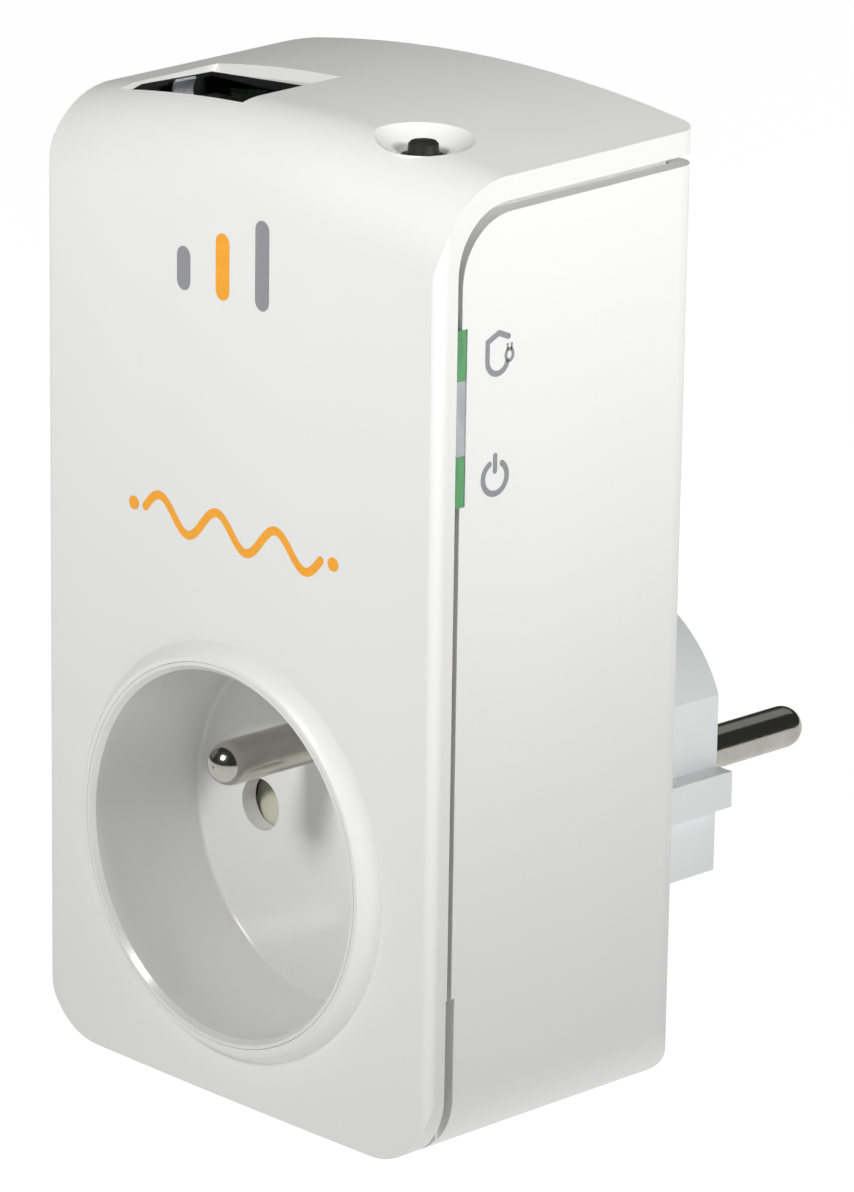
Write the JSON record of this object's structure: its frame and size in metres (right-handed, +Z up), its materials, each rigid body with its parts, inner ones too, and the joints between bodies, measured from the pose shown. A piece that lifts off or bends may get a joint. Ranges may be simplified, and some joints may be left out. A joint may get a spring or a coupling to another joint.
{
  "type": "powerline adapter",
  "caption": "Powerline network adapter with a pass-through earthed socket on the front, a plug on the back, a network jack and pairing button on top.",
  "frame": {"origin": "on the flat base that it stands on, midway between its sides and in line with the socket's middle", "axes": "+Z up, +Y along the plug pins from the socket side to the plug side, +X to the right seen from the socket side"},
  "size_m": [0.06, 0.0801, 0.1082],
  "materials": {
    "cover_gloss": "polished white",
    "housing_satin": "satin off-white",
    "socket_white": "satin white",
    "plug_white": "satin white",
    "inner_plastic": "moulded grey",
    "shutter_plastic": "moulded light grey",
    "button_black": "moulded black",
    "nickel": "bright nickel plate",
    "brass": "stamped strip",
    "spring_steel": "drawn wire",
    "window_green": "tinted clear",
    "guide_clear": "milky clear",
    "jack_plastic": "moulded black",
    "jack_steel": "tinned",
    "gold_contacts": "gold flash",
    "board_green": "solder mask",
    "chip_black": "moulded black",
    "aluminium": "extruded",
    "ferrite": "fired grey",
    "lamp_yellow": "clear",
    "capacitor_sleeve": "shrink sleeve",
    "capacitor_box": "moulded yellow",
    "fuse_body": "ceramic",
    "varistor_blue": "dipped",
    "wire_blue": "sleeved",
    "wire_brown": "sleeved",
    "screw_steel": "zinc plated",
    "ink_grey": "printed mark",
    "ink_orange": "printed mark"
  },
  "bodies": {
    "adapter": {"front_cover": "cover_gloss", "rear_housing": "housing_satin", "socket_cup": "socket_white", "contact_block": "inner_plastic", "plug_body": "plug_white", "socket_earth_pin": "nickel", "plug_pin_left": "nickel", "plug_pin_right": "nickel", "plug_earth_sleeve": "nickel", "plug_earth_clip_top": "nickel", "plug_earth_clip_bottom": "nickel", "contact_left": "brass", "contact_right": "brass", "earth_strap": "brass", "status_window_upper": "window_green", "status_window_lower": "window_green", "light_guide": "guide_clear", "jack_housing": "jack_plastic", "jack_shield": "jack_steel", "jack_contacts": "gold_contacts", "main_board": "board_green", "power_board": "board_green", "processor": "chip_black", "network_chip": "chip_black", "memory_chip": "chip_black", "crystal": "jack_steel", "heat_sink": "aluminium", "jack_magnetics": "chip_black", "coupling_transformer": "ferrite", "power_transformer": "ferrite", "line_choke": "ferrite", "status_lamps": "lamp_yellow", "pairing_switch": "chip_black", "bulk_capacitor": "capacitor_sleeve", "output_capacitors": "capacitor_sleeve", "safety_capacitor": "capacitor_box", "fuse": "fuse_body", "varistor": "varistor_blue", "board_header": "chip_black", "wire_left": "wire_blue", "wire_right": "wire_brown", "case_screws": "screw_steel", "board_screws": "screw_steel", "shutter_spring": "spring_steel"},
    "pairing_button": {"pairing_button": "button_black"},
    "socket_shutter": {"socket_shutter": "shutter_plastic"}
  },
  "joints": [
    {"name": "button_press", "type": "slide", "parent": "adapter", "child": "pairing_button", "axis": [0, 0, -1], "range_m": [0, 0.0003], "stiffness_N_per_m": 1000, "springref_m": -0.0006},
    {"name": "shutter_slide", "type": "slide", "parent": "adapter", "child": "socket_shutter", "axis": [0, 0, -1], "range_m": [0, 0.0065], "stiffness_N_per_m": 100, "springref_m": -0.006, "deforming": ["shutter_spring"]}
  ]
}
